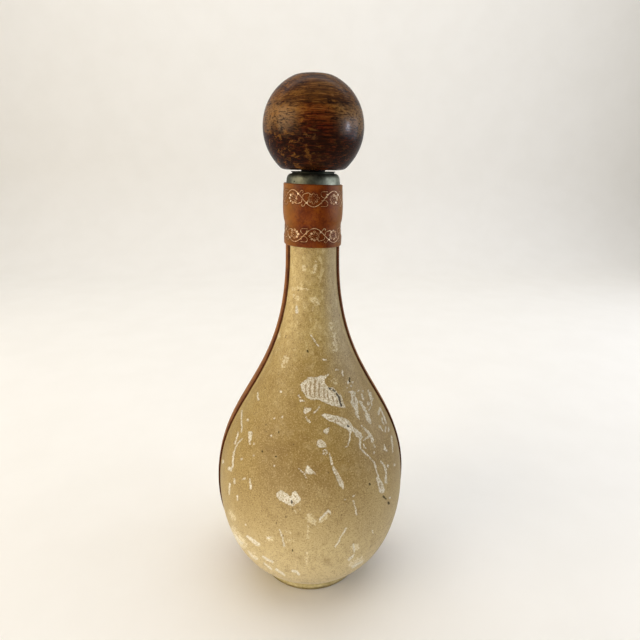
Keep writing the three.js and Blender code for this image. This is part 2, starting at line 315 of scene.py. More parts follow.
# Meshes
def make_piece(name, points, faces, look, body, nodes=(), sharp=SHARP_ANGLE):
    mesh = bpy.data.meshes.new(name)
    mesh.from_pydata(np.asarray(points).tolist(), [], faces)
    mesh.validate()
    mesh.shade_smooth()
    mesh.set_sharp_from_angle(angle=sharp)
    mesh.materials.append(look)
    piece = bpy.data.objects.new(name, mesh)
    bpy.context.scene.collection.objects.link(piece)
    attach(piece, body)
    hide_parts(*nodes)
    return piece


def hold(piece, name, values):
    """Keep a value on each point of a piece, for its material to read."""
    held = piece.data.attributes.new(name, "FLOAT", "POINT")
    held.data.foreach_set("value", np.asarray(values, np.float32))


def around(radius, height, angle):
    """A point at an angle from the front, counted towards +X."""
    return np.stack(np.broadcast_arrays(radius * np.sin(angle), -radius * np.cos(angle), height), axis=-1)


def grid_faces(rows, columns, first=0, wrap_rows=False, wrap_columns=False):
    """Quads over a grid of points, row after row."""
    faces = []
    for i in range(rows if wrap_rows else rows - 1):
        for j in range(columns if wrap_columns else columns - 1):
            below, above = first + i * columns, first + (i + 1) % rows * columns
            beside = (j + 1) % columns
            faces.append((below + j, below + beside, above + beside, above + j))
    return faces


def turned(chain, closed):
    """A full turn of a profile: closed on itself, or from the axis to the axis."""
    columns = ROUND_COLUMNS
    angles = np.arange(columns) / columns * 2 * math.pi
    rows = chain if closed else chain[1:-1]
    points = around(rows[:, :1], rows[:, 1:], angles[None, :]).reshape(-1, 3)
    faces = grid_faces(len(rows), columns, wrap_rows=closed, wrap_columns=True)
    if not closed:
        low, high = len(points), len(points) + 1
        points = np.vstack([points, [(0, 0, chain[0][1]), (0, 0, chain[-1][1])]])
        top = (len(rows) - 1) * columns
        for j in range(columns):
            beside = (j + 1) % columns
            faces.append((low, beside, j))
            faces.append((high, top + j, top + beside))
    return points, faces


def slit_turn(chain, columns=ROUND_COLUMNS, wobble=None):
    """A turn of a closed profile that stops at a narrow seam at the back."""
    reach = math.pi - BUTT_HALF / chain[:, 0].max()
    angles = np.linspace(-reach, reach, columns)
    radius = chain[:, :1] + (wobble(angles[None, :], chain[:, 1:]) if wobble else 0)
    points = around(radius, chain[:, 1:], angles[None, :]).reshape(-1, 3)
    faces = grid_faces(len(chain), columns, wrap_rows=True)
    faces.append(tuple(range(0, len(chain) * columns, columns)))
    faces.append(tuple(range(columns - 1, len(chain) * columns, columns))[::-1])
    return points, faces


# Materials
def colour(code):
    """Linear colour of a hex code."""
    parts = [int(code[i:i + 2], 16) / 255 for i in (1, 3, 5)]
    return [p / 12.92 if p <= 0.04045 else ((p + 0.055) / 1.055) ** 2.4 for p in parts] + [1]


class Nodes:
    """A tree of shader nodes in the making."""

    def __init__(self, tree):
        self.tree = tree

    def plug(self, socket, value):
        """Feed a socket from another one, or set it to a number, a list or a colour code."""
        if isinstance(value, bpy.types.NodeSocket):
            self.tree.links.new(value, socket)
        else:
            socket.default_value = colour(value) if isinstance(value, str) else value

    def set(self, node, values):
        for key, value in values.items():
            self.plug(node.inputs[key], value)

    def add(self, kind, values=None, **settings):
        node = self.tree.nodes.new("ShaderNode" + kind)
        for key, value in settings.items():
            setattr(node, key, value)
        self.set(node, values or {})
        return node

    def between(self, value, low, high, start=0.0, end=1.0):
        """A smooth step from start to end as a value goes from low to high."""
        values = {"Value": value, "From Min": low, "From Max": high, "To Min": start, "To Max": end}
        return self.add("MapRange", values, interpolation_type="SMOOTHSTEP").outputs[0]


class Look(Nodes):
    """A material whose base colour is painted over step by step. Pattern sizes are real, in metres."""

    def __init__(self, name, values):
        self.material = bpy.data.materials.new(name)
        self.material.use_nodes = True
        super().__init__(self.material.node_tree)
        self.shader = self.tree.nodes["Principled BSDF"]
        self.set(self.shader, values)
        self.place = self.add("TexCoord").outputs["Object"]
        self.base = None

    def finish(self, roughness=None, relief=None):
        ends = {"Base Color": self.base, "Roughness": roughness, "Normal": relief}
        self.set(self.shader, {key: value for key, value in ends.items() if value is not None})
        return self.material

    def paint(self, over, share, part=None):
        """Lay a colour over the base by a share, or by a part of that share."""
        self.base = self.mix(share if part is None else self.times(share, part), self.base, over)

    def stain(self, over, value, low, high, most=1.0, zone=None):
        """Lay a colour over the base as a value goes from low to high, up to a share, within a zone."""
        share = self.between(value, low, high, 0, most)
        self.paint(over, share if zone is None else self.times(zone, share))

    def stretched(self, x, y, z):
        return self.add("Mapping", {"Vector": self.place, "Scale": (x, y, z)}).outputs[0]

    def noise(self, size, detail=3, roughness=0.55, place=None, distortion=0):
        values = {"Vector": place or self.place, "Scale": 1 / size, "Detail": detail}
        values.update({"Roughness": roughness, "Distortion": distortion})
        return self.add("TexNoise", values).outputs[0]

    def cells(self, size):
        return self.add("TexVoronoi", {"Vector": self.place, "Scale": 1 / size}).outputs["Distance"]

    def math(self, operation, *values):
        node = self.add("Math", operation=operation)
        for socket, value in zip(node.inputs, values):
            self.plug(socket, value)
        return node.outputs[0]

    def times(self, a, b):
        return self.math("MULTIPLY", a, b)

    def scaled(self, value, factor, offset):
        return self.math("MULTIPLY_ADD", value, factor, offset)

    def mix(self, share, a, b):
        node = self.add("Mix", {"Factor": share}, data_type="RGBA")
        self.plug(node.inputs[6], a)
        self.plug(node.inputs[7], b)
        return node.outputs[2]

    def ramp(self, value, *stops):
        node = self.add("ValToRGB", {"Fac": value})
        band = node.color_ramp.elements
        while len(band) < len(stops):
            band.new(0.5)
        for element, (place, code) in zip(band, stops):
            element.position = place
            element.color = colour(code)
        return node.outputs[0]

    def along(self, axis):
        return self.add("SeparateXYZ", {"Vector": self.place}).outputs[axis]

    def fade(self, axis, ends, start=0.0, end=1.0):
        """A smooth step from start to end between two places along an axis."""
        return self.between(self.along(axis), *ends, start, end)

    def held(self, name):
        """A value kept on the points of the mesh."""
        return self.add("Attribute", attribute_name=name).outputs["Fac"]

    def bump(self, height, depth, strength, relief=None):
        values = {"Height": height, "Distance": depth, "Strength": strength}
        if relief:
            values["Normal"] = relief
        return self.add("Bump", values).outputs[0]


def cream_leather():
    """Cream leather, toned by painted shade and painted light: speckled, rubbed, scored, and flaked to its
    pale core.
    """
    look = Look("aged_cream_leather", {"Specular IOR Level": 0.24})
    mottle = look.noise(6 * MM, detail=4, roughness=0.6)
    speckle = look.noise(0.75 * MM, roughness=0.7)
    low = look.fade("Z", FLOOR_LIGHT_FADE)
    neck = look.fade("Z", NECK_FADE)
    look.base = look.ramp(look.noise(36 * MM), (0.34, "#866e3c"), (0.5, "#927a45"), (0.66, "#9c8651"))
    # Painted shade on the middle of the belly
    look.paint("#745723", look.held("painted_belly_shade"), 0.52)
    # Painted light on one side of the neck and beside the strips
    look.stain("#cbb27a", look.held("pale"), 0, 1, 0.52)
    # Painted light from the floor, low on the body
    look.paint("#cdb98c", low, 0.74)
    look.stain("#a48f61", mottle, 0.5, 0.72, 0.5)
    look.stain("#72572a", mottle, 0.48, 0.28, 0.4)
    drag = look.noise(1.6 * MM, place=look.stretched(1, 1, 0.15))
    look.stain("#8a7040", drag, 0.5, 0.68, 0.3, low)
    smears = look.noise(2.6 * MM, detail=4, roughness=0.65, place=look.stretched(1, 1, 0.5))
    look.stain("#d6c492", smears, 0.52, 0.66, 0.4, neck)
    look.stain("#725828", smears, 0.46, 0.34, 0.35, neck)
    # Painted cool sheen: greyer on the right of the neck
    look.stain("#a1967a", look.along("X"), *NECK_SHEEN_SIDE, 0.4, neck)
    held = look.times(look.fade("Z", HELD_LOW), look.fade("Z", HELD_HIGH))
    look.stain("#8b702d", look.along("X"), *HELD_SIDE, 0.28, held)
    lively = look.fade("Z", LIVELY_FADE, 0.68, 0.6)
    look.stain("#60451f", speckle, 0.5, 0.66, 0.8, lively)
    look.stain("#c2ad7c", speckle, 0.47, 0.34, 0.58, lively)
    look.paint("#4d361b", look.between(look.noise(2.4 * MM, detail=1), 0.74, 0.79), 0.6)
    covered = look.between(look.held("rub"), -3.0, 1.5)
    dust = look.noise(1.3 * MM, detail=4, roughness=0.7)
    rub = look.between(look.scaled(covered, 0.22, dust), 0.65, 0.74)
    look.paint("#d8caa6", rub, look.between(low, 0.4, 1, 0.5, 0.75))
    ragged = look.math("SUBTRACT", look.noise(0.95 * MM, detail=5, roughness=0.8), 0.5)
    flake = look.between(look.scaled(ragged, 3.4, look.held("flake")), -0.1, 0.2)
    worn = look.noise(0.8 * MM, roughness=0.7)
    bare = look.ramp(worn, (0.36, "#836e49"), (0.47, "#b9ae94"), (0.62, "#dfd8c6"))
    bare = look.mix(look.between(look.noise(4.5 * MM, detail=2), 0.4, 0.6, 0, 0.34), bare, "#a2967e")
    # The painted light from the floor reaches the flakes low on the body too
    bare = look.mix(look.times(low, 0.28), bare, "#f1e8d0")
    look.paint(bare, flake, 0.92)
    score = look.between(look.scaled(ragged, 2.0, look.held("score")), -0.3, 0.4)
    look.paint("#7d6338", score, 0.72)
    dark = look.between(look.scaled(ragged, 2.2, look.held("dark")), -0.4, 0.2)
    look.paint("#221305", dark, 0.88)
    relief = look.bump(look.cells(0.9 * MM), 0.06 * MM, 0.35)
    relief = look.bump(speckle, 0.06 * MM, 0.35, relief)
    relief = look.bump(flake, -0.12 * MM, 0.8, relief)
    return look.finish(look.scaled(look.math("MAXIMUM", flake, dark), 0.4, 0.46), relief)


def brown_leather(name, dark_code, mid_code, light_code, rough):
    """Brown leather: darker at cut edges and round pressed lines, paler with wear and painted sheen."""
    look = Look(name, {"Specular IOR Level": 0.12})
    broad = look.noise(7 * MM, detail=4, roughness=0.65)
    fine = look.noise(1.1 * MM, roughness=0.7)
    look.base = look.ramp(broad, (0.34, dark_code), (0.5, mid_code), (0.66, light_code))
    look.stain(dark_code, fine, 0.5, 0.66, 0.85)
    look.stain(light_code, fine, 0.46, 0.32, 0.6)
    # Paler by the worn value: wear with a painted highlight on the strips, painted sheen on the band's
    # sides
    look.stain("#a07034", look.held("worn"), 0.1, 1, 0.5)
    look.paint("#300f04", look.between(look.held("edge"), 0.35, 0.85), 0.7)
    look.stain("#2c0e03", look.held("press"), 0, 1, 0.42)
    relief = look.bump(look.cells(0.8 * MM), 0.05 * MM, 0.5)
    relief = look.bump(fine, 0.05 * MM, 0.5, relief)
    relief = look.bump(look.held("press"), -0.1 * MM, 0.6, relief)
    return look.finish(look.scaled(broad, 0.25, rough), relief)


def foot_leather():
    look = Look("olive_tan_leather", {"Specular IOR Level": 0.3})
    broad = look.noise(5 * MM, detail=4)
    fine = look.noise(0.8 * MM)
    look.base = look.ramp(broad, (0.3, "#918350"), (0.55, "#ad9b69"), (0.75, "#bbae80"))
    look.stain("#6b5a34", fine, 0.5, 0.72, 0.5)
    # Painted shade: in the crease under the panels, and along the floor
    look.stain("#3f311a", look.along("Z"), *FOOT_CREASE_SHADE, 0.12)
    look.stain("#4a3b20", look.along("Z"), *FOOT_FLOOR_SHADE, 0.16)
    return look.finish(look.scaled(fine, 0.2, 0.5), look.bump(fine, 0.05 * MM, 0.6))


def pewter(lip_top):
    """Tarnished metal, darkest on the lip by grime and painted shade, with a punch mark near its lower edge
    painted dark as the shade in its dent.
    """
    look = Look("aged_pewter", {"Metallic": 1.0})
    broad = look.noise(5 * MM, detail=4, roughness=0.6)
    look.base = look.ramp(broad, (0.3, "#4f5245"), (0.5, "#717363"), (0.72, "#949684"))
    look.paint("#2d3128", look.between(look.noise(2.2 * MM, detail=4), 0.5, 0.7), 0.5)
    below = look.math("SUBTRACT", lip_top, look.along("Z"))
    # Grime and painted shade on the lip and the top of the shoulder
    for shade_and_grime in LIP_SHADE_AND_GRIME:
        look.stain("#161710", below, *shade_and_grime)
    # Punch mark: painted shade in its dent, also pressed into the relief
    away = look.add("VectorMath", {0: look.place, 1: PUNCH_PLACE}, operation="DISTANCE").outputs["Value"]
    punch = look.between(away, PUNCH_RADIUS, PUNCH_FLOOR)
    look.paint("#0d0e0b", punch)
    relief = look.bump(look.noise(0.5 * MM), 0.03 * MM, 0.5)
    return look.finish(look.scaled(broad, 0.2, 0.43), look.bump(punch, -0.3 * MM, 1.0, relief))


def walnut(low, high):
    """Dark wood, grain along X: pale above broken dark lines, tan with painted sheen at the sides, dark and
    flecked below.
    """
    look = Look("dark_walnut", {"Specular IOR Level": 0.1})
    banded = look.stretched(0.1, 0.5, 1)
    figured = look.stretched(0.6, 0.6, 1)
    bands = look.noise(3.2 * MM, detail=4, roughness=0.6, place=banded, distortion=0.3)
    figure = look.noise(2.8 * MM, detail=6, roughness=0.75, place=figured, distortion=0.6)
    streaks = look.noise(0.65 * MM, roughness=0.65, place=look.stretched(0.06, 0.4, 1))
    pores = look.noise(0.5 * MM, detail=1, place=look.stretched(0.12, 1, 1))
    rise = look.fade("Z", (low, high))
    lower = look.between(rise, 0.68, 0.36)
    look.base = look.ramp(bands, (0.3, "#331907"), (0.45, "#4e2b0c"), (0.58, "#603b13"), (0.72, "#74501d"))
    look.paint("#1d0702", lower, 0.95)
    drift = look.scaled(look.noise(9 * MM), 0.4, look.math("SUBTRACT", rise, 0.2))
    waist = look.times(look.between(drift, 0.26, 0.5), look.between(drift, 0.8, 0.66))
    waist = look.times(waist, look.fade("Y", WAIST_FRONT))
    # Tan sides of the waist, on its front only: wood colour with painted sheen
    for start, end, share, code in TAN_SHEEN_SIDES:
        look.stain(code, look.along("X"), start, end, share, waist)
    aside = look.math("ABSOLUTE", look.along("X"))
    look.stain("#6a1c08", aside, *WAIST_MIDDLE, 0.32, waist)
    shade = look.between(rise, 0.5, 0.85, 0.9, 0.5)
    look.stain("#170803", streaks, 0.5, 0.6, zone=shade)
    light = look.between(streaks, 0.47, 0.36)
    look.paint("#8c5f30", light, look.between(lower, 0, 1, 0.5, 0))
    look.paint("#58250b", light, look.between(lower, 0, 1, 0, 0.42))
    look.stain("#80531f", figure, 0.53, 0.62, zone=look.fade("X", FLECKED_SIDE, 0.1, 0.52))
    look.stain("#140502", figure, 0.47, 0.34, 0.7)
    bend = look.scaled(bands, 0.09, look.math("SUBTRACT", rise, 0.045))
    broken = look.between(look.noise(8 * MM, detail=2), 0.4, 0.56, 0.25, 1)
    for height, width, share in RING_LINES:
        gap = look.math("ABSOLUTE", look.math("SUBTRACT", bend, height))
        look.stain("#1b0904", gap, width, RING_CORE * width, share, broken)
    look.stain("#120805", pores, 0.62, 0.7, 0.6)
    relief = look.bump(pores, -0.05 * MM, 0.5)
    relief = look.bump(streaks, -0.05 * MM, 0.4, relief)
    return look.finish(look.scaled(streaks, 0.2, 0.13), relief)


def black_wood():
    look = Look("black_stained_wood", {"Specular IOR Level": 0.1})
    streaks = look.noise(0.8 * MM, place=look.stretched(1, 1, 0.12))
    look.base = look.ramp(streaks, (0.35, "#040201"), (0.65, "#0d0805"))
    return look.finish(look.scaled(streaks, 0.3, 0.35), look.bump(streaks, 0.04 * MM, 0.5))


def cork():
    look = Look("natural_cork", {"Specular IOR Level": 0.2})
    flecks = look.noise(1.1 * MM, detail=4, roughness=0.65)
    pits = look.between(look.cells(2.6 * MM), 0.16, 0.06)
    look.base = look.ramp(flecks, (0.34, "#6d4a2a"), (0.45, "#b58a5b"), (0.7, "#cda775"))
    look.paint("#4a2f1a", pits, 0.8)
    relief = look.bump(flecks, 0.1 * MM, 0.6)
    return look.finish(look.scaled(flecks, 0.2, 0.72), look.bump(pits, -0.2 * MM, 0.8, relief))


def bottle_glass():
    look = Look("green_tinted_glass", {"Transmission Weight": 1.0, "IOR": 1.5})
    seeds = look.noise(4 * MM, detail=2)
    look.base = look.ramp(seeds, (0.3, "#dfe8da"), (0.7, "#eef3ea"))
    return look.finish(look.times(seeds, 0.06), look.bump(seeds, 0.03 * MM, 0.3))


def gold_foil():
    look = Look("worn_gold_foil", {"Metallic": 0.6})
    wear = look.noise(3.5 * MM, detail=4, roughness=0.65)
    look.base = look.ramp(wear, (0.34, "#8a5530"), (0.5, "#c09262"), (0.68, "#ead2a6"))
    look.paint("#6b3514", look.between(look.noise(0.9 * MM, detail=2), 0.52, 0.64), 0.8)
    # Painted highlight: near-white laid on the gold, as much as its points hold
    look.stain("#fff0cc", look.held("painted_highlight"), 0, 1, 0.95)
    return look.finish(look.scaled(wear, -0.3, 0.5), look.bump(look.noise(0.4 * MM), 0.03 * MM, 0.4))


def pale_paper():
    look = Look("pale_sweep", {"Roughness": 0.9, "Specular IOR Level": 0.1})
    look.base = "#f3f1ec"
    look.stain("#c9c4b6", look.noise(60 * MM, detail=4), 0.3, 0.7, 0.05)
    return look.finish()


# Wear of the front panel, in pixels of the photograph. A flake is an outline, a stroke is its two end
# widths and its points, and a speck is its middle, width and height. The other marks are strokes too.
FLAKES = {
    "leaf": [
        (301, 383.3), (303.6, 381.5), (306.2, 380.2), (308.5, 377.6), (311.5, 377), (315.7, 377.4),
        (320.3, 376), (324.9, 376.2), (329.8, 373.6), (326.6, 377), (323.8, 380.6), (324.5, 384.1),
        (328, 387.1), (333.3, 388.3), (337.2, 392.9), (339.8, 397.1), (341.7, 402.4), (345.4, 407.6),
        (337.9, 406.6), (332.2, 405), (325.7, 403), (321.8, 400.6), (316.9, 398.8), (313, 399.8),
        (308.5, 398.4), (306.2, 396.3), (304.6, 392.9), (301.6, 390.2), (301.2, 386.4),
    ],
    "slash": [
        (321, 414.8), (325, 413.8), (329.1, 414.4), (337.4, 416.3), (345.7, 419), (350.8, 422.3),
        (352.3, 426), (357.2, 429.6), (361.4, 433), (362.4, 437), (360.6, 439), (357.2, 437.4),
        (355.4, 433.6), (351.9, 430.2), (348.3, 430.4), (346.2, 428), (340.6, 426), (335.5, 423),
        (329.1, 420.3), (324.7, 417.4),
    ],
    "heart": [
        (276, 494), (280.5, 490.2), (284.3, 492.8), (290, 496.9), (292, 495.3), (291.6, 492.1),
        (295.8, 491.5), (298.3, 495.9), (300.9, 499.1), (297.7, 503), (292.6, 505.5), (288.8, 504.9),
        (284.3, 502.3), (279.2, 499.8), (276.7, 496.6),
    ],
    "wedge": [(307.5, 465.2), (310.8, 469), (316.2, 473.6), (309.5, 474), (305.2, 473.2)],
    "round_flake": [
        (318.2, 440.2), (320.6, 439.6), (323, 441.6), (325.6, 444.4), (326.4, 446.2), (324.6, 447.6),
        (319.8, 447.6), (317.4, 445.4), (317, 442.4),
    ],
    "under_slash": [(323, 430.6), (325, 428.8), (329.4, 428), (329, 432), (327, 434.2), (325.2, 432.8)],
    "above_slash": [
        (304.6, 408.4), (307.6, 407.6), (311, 408), (310.4, 410.8), (307.8, 412), (305.6, 413.4),
        (303.4, 412),
    ],
    "right_tall": [
        (348.8, 392), (352, 391), (355.8, 391.8), (355.2, 395.2), (357.2, 400.4), (358, 406),
        (358.8, 414.8), (359.6, 419), (356.4, 416.6), (355.2, 409), (352.9, 406.4), (351.2, 403.2),
        (352.1, 397), (351.4, 393.4),
    ],
    "right_leaf": [
        (366.4, 411.4), (369, 415), (371, 420), (371.4, 423.8), (369, 423), (366.8, 419.6), (365.2, 415),
    ],
}
STROKES = {
    "leaf_lip": (1, 1.2, [(339.8, 393.8), (341.8, 398.6), (342.8, 403), (345.4, 407.6)]),
    "slash_branch": (2.2, 1.4, [
        (350.8, 430.6), (350.2, 435.7), (349.5, 440.8), (348.6, 445.3), (345.7, 447.5),
    ]),
    "crack": (1.8, 1.5, [
        (360.4, 438.6), (360.5, 447.8), (367.4, 455.5), (374.4, 462.5), (376.6, 470), (378.6, 476),
    ]),
    "crack_end": (4, 5.4, [(378.2, 479), (380.4, 484), (382, 490.6)]),
    "side_dash": (1.6, 2.8, [(381.4, 461.2), (384.2, 465), (386, 471), (386.3, 482.6)]),
    "right_tick": (1.5, 3.4, [(361.2, 425.6), (367.7, 431.2), (370.8, 435.4), (372.6, 441)]),
    "right_tick_branch": (2, 1.5, [(369, 436), (363.8, 440)]),
    "right_tick_tail": (1.5, 1.5, [(373.8, 444.6), (375, 447.4)]),
    "right_arc": (1, 1, [(364, 444), (364.6, 446.6), (366.2, 448.6)]),
    "right_long_top": (2, 2.6, [(361.8, 394.6), (363.4, 398.6)]),
    "right_long": (2.8, 2.2, [(361.2, 402.4), (362.8, 406), (365.6, 410.4)]),
    "right_short": (3, 2, [(370.4, 393.4), (370.6, 398.8)]),
    "right_short_tail": (1, 1, [(373, 398), (371, 402), (371.7, 405.4)]),
    "right_short_foot": (1.2, 1, [(370.8, 407.3), (369, 410)]),
    "edge_blot": (1.4, 2.6, [(380.2, 407.4), (378.8, 413.6)]),
    "edge_line": (1, 1.2, [(380.6, 408), (383.6, 415), (386.4, 423)]),
    "edge_dash": (1.8, 1.4, [(382, 420.4), (384.6, 424.4)]),
    "edge_dash_low": (1.8, 1.4, [(379.3, 425.8), (383.3, 430.6)]),
    "edge_tick": (1.6, 1.5, [(386, 427.2), (385.8, 431.8)]),
    "edge_tick_far": (1.4, 1.5, [(388.7, 427.2), (389.2, 431.6)]),
    "edge_arrow": (1.5, 2, [(384.4, 444.8), (386.9, 450.8)]),
    "edge_hair": (1, 1, [(391.6, 436), (393, 452.6)]),
    "dashes": (1.6, 2.4, [(329.3, 453), (332.4, 464.4)]),
    "dashes_wide": (2.8, 5, [(333.2, 467.4), (337.4, 476), (341.4, 484)]),
    "dashes_end": (4, 1.6, [(341.4, 484), (343.6, 488.4)]),
    "ring_top": (1.4, 1.4, [(323.6, 451.2), (325.2, 449.8), (327, 451.4)]),
    "ring_low": (1.5, 1.5, [(323.4, 453.8), (325.4, 454.8), (327.2, 453.8)]),
    "wedge_tail": (2, 1.4, [(299.4, 468.8), (302.8, 472.6), (306, 477.8)]),
    "comma": (1.5, 2.2, [(305.9, 417), (307.2, 419.5), (309.8, 421.8)]),
    "sliver": (1.2, 1.8, [(319.9, 406.6), (314.2, 412.5)]),
    "under_leaf": (2.2, 2.2, [(300.6, 400.8), (303.6, 400.9)]),
    "beside_leaf": (1, 1.6, [(298.4, 395.4), (299.8, 398)]),
    "left_hair_top": (0.9, 1.2, [(241.4, 410.6), (241.5, 431.7)]),
    "left_hair": (1.5, 1.6, [
        (242.1, 439), (237.7, 443.1), (234.5, 448.9), (233.2, 456.5), (232.6, 464.8), (231, 471),
    ]),
    "left_hair_branch": (1, 1, [(238.3, 432.3), (234.8, 443.8)]),
    "drop": (4.8, 1.8, [(250.4, 433.2), (249.6, 444)]),
    "left_low_dash": (1, 2, [(249.3, 479), (250.9, 488.3)]),
    "left_mid_dash": (2, 1.6, [(229.4, 483.6), (229.3, 494)]),
    "left_rim_dash": (1.6, 1.8, [(234.2, 478.6), (234.2, 483.4)]),
    "left_low_tick": (1.2, 1.4, [(237.1, 496), (237.1, 500.4)]),
    "low_left_flake": (2.6, 4, [(246.9, 536.2), (252, 540), (258.2, 544.4)]),
    "low_left_line": (2.2, 2.4, [(262.6, 557.2), (272.2, 562.3)]),
    "low_left_line_under": (2, 2, [(264.5, 563.5), (271, 569)]),
    "low_left_rim": (2.4, 3.4, [(232.4, 533), (237, 538.6), (242, 543.4)]),
    "low_left_rim_under": (1.6, 2, [(248.4, 551.4), (252, 556), (257, 559.4)]),
    "low_right_blot": (2.4, 2, [(353.4, 545), (354.8, 552.6)]),
    "low_right_blot_under": (2, 2.4, [(353.4, 555.6), (348.8, 560)]),
    "low_right_rim": (2, 2.6, [(361.8, 561.8), (352.4, 567.4)]),
    "right_rim_dash": (1.6, 1.5, [(372.4, 530.6), (373.6, 533.6)]),
    "low_dash": (1.4, 2.2, [(279.4, 529.7), (281.6, 535.6), (284.2, 546.2)]),
    "foot_tick": (2.5, 2.2, [(276.2, 569.6), (284.3, 575.6)]),
    "foot_tick_right": (2.2, 2.2, [(292.4, 571), (296.4, 571.4), (299, 575)]),
    "low_right_line": (1.6, 1.2, [(346.5, 527.6), (335.6, 546.7)]),
    "low_right_hair": (1.4, 1, [(354, 500.8), (356.7, 514.8)]),
    "zigzag": (1.6, 1.8, [(319.5, 520), (324.8, 514.8), (328.6, 509.7), (330.6, 514)]),
    "neck_line": (1, 1.2, [(310.8, 335), (318.4, 346)]),
    "shoulder_dash": (1.2, 1.5, [(319.7, 358.6), (326.7, 359.9)]),
    "shoulder_tick": (1.6, 1.8, [(335.4, 369.6), (338.4, 370.2)]),
    "shoulder_tick_right": (1.4, 1.5, [(342.4, 370.6), (343.2, 375.4)]),
    "left_shoulder_tick": (1, 1.6, [(257.3, 392.4), (257.7, 397.2), (258.5, 400)]),
    "neck_mark": (1.6, 3, [(296.4, 306.4), (296.8, 312)]),
}
SPECKS = {
    "low_pair": (354, 496.3, 2.8, 2.2),
    "low_pair_left": (345.2, 499.4, 2, 2),
    "left_bright": (247.9, 420.2, 2.6, 3.2),
    "left_edge": (229.1, 468.6, 3.4, 4.4),
    "left_rim": (222.8, 461.4, 2.2, 4),
    "left_mid": (241.5, 459.1, 2.2, 3.4),
    "left_pair": (243.6, 479, 3, 2.6),
    "drop_foot": (253.6, 443.8, 2.2, 2.2),
    "drop_low": (253.3, 455.3, 1.6, 1.8),
    "centre_left": (274.3, 465.8, 2.4, 2.8),
    "shoulder_left": (280.7, 391.4, 2.8, 2.4),
    "centre_dot": (282.3, 416.7, 2.2, 1.8),
    "centre_dot_left": (274.6, 417.9, 2.2, 2.2),
    "centre_dot_low": (270.8, 436.1, 2.2, 2.2),
    "right_dot": (374.5, 452.8, 2, 2.4),
    "right_mark": (385.2, 449, 2.6, 3),
    "right_rim": (388.4, 466.4, 2, 4),
    "right_rim_far": (394.6, 464.8, 2, 1.8),
    "right_between": (368.3, 403.4, 2.6, 3.4),
    "right_top": (358.3, 391.2, 2, 2),
    "right_top_mid": (363.2, 390.8, 1.8, 2.6),
    "right_top_far": (368.6, 391.2, 2.2, 1.8),
    "right_step": (359.6, 401.4, 2, 1.8),
    "beside_tear": (390.4, 497.8, 2, 2.6),
    "cluster_left": (348.2, 382.6, 2.8, 3.4),
    "cluster_right": (352.6, 382, 2.8, 2.8),
    "cluster_low": (351, 386.2, 2, 2),
    "cluster_low_left": (347, 387.4, 2, 2),
    "edge_speck": (382.4, 418.4, 2, 2),
    "low_soft_dot": (269, 538, 3.6, 2.4),
    "low_left_dot": (245.4, 524.6, 2.2, 2.2),
}
RUBS = {
    "neck_smear": (2.6, 3.2, [(316.2, 263), (314, 272)]),
    "neck_smear_left": (3, 3, [(303.4, 266), (304.4, 269)]),
    "neck_blotch": (6, 5, [(313.5, 300), (317.5, 303)]),
    "neck_blotch_low": (2.6, 2, [(312.6, 310), (314, 311)]),
    "neck_left": (2.4, 2.6, [(293.5, 295), (298, 299.4)]),
    "neck_arc": (1.2, 1, [(292, 288.4), (299, 287.6), (306.9, 289.7)]),
    "shoulder_smear": (2.6, 4, [(333.7, 334.4), (335.6, 349.7)]),
    "shoulder_smear_top": (2, 2.4, [(331.2, 323), (331.8, 329.3)]),
    "shoulder_left": (5, 4.4, [(285.9, 358), (283.4, 365.6)]),
    "shoulder_far_left": (2, 2, [(279.8, 333), (277.6, 338)]),
    "leaf_ring": (4, 3, [(334.4, 380.6), (336, 383)]),
    "low_blotch": (7, 7, [(309, 517), (313, 522)]),
    "low_blotch_right": (4, 5, [(321, 521), (325.6, 516)]),
    "low_left_rim": (7, 8, [(232.6, 530.4), (243.2, 544.4)]),
    "low_left_soft": (4, 4, [(252, 554), (256, 557.4)]),
    "low_soft": (4.4, 4, [(268, 538), (271, 538.8)]),
    "low_right_patch": (5, 7, [(351, 564), (361, 560)]),
    "low_right_soft": (5, 5, [(353, 548), (357, 547)]),
    "left_soft": (4.4, 4.8, [(230.4, 512.4), (233.6, 518.6)]),
    "low_tick": (2.4, 2, [(286, 531.8), (289.6, 532.6)]),
    "low_tick_under": (2, 1.6, [(287.6, 540.6), (292.4, 540)]),
    "low_streak": (1.8, 1.6, [(308, 526), (307.6, 540)]),
    "low_streak_under": (1.8, 1.6, [(307, 552), (306.5, 565)]),
    "heart_tail": (1.6, 1.4, [(299, 504), (300, 509)]),
    "heart_tail_left": (2, 1.6, [(294, 510.6), (296.4, 513)]),
}
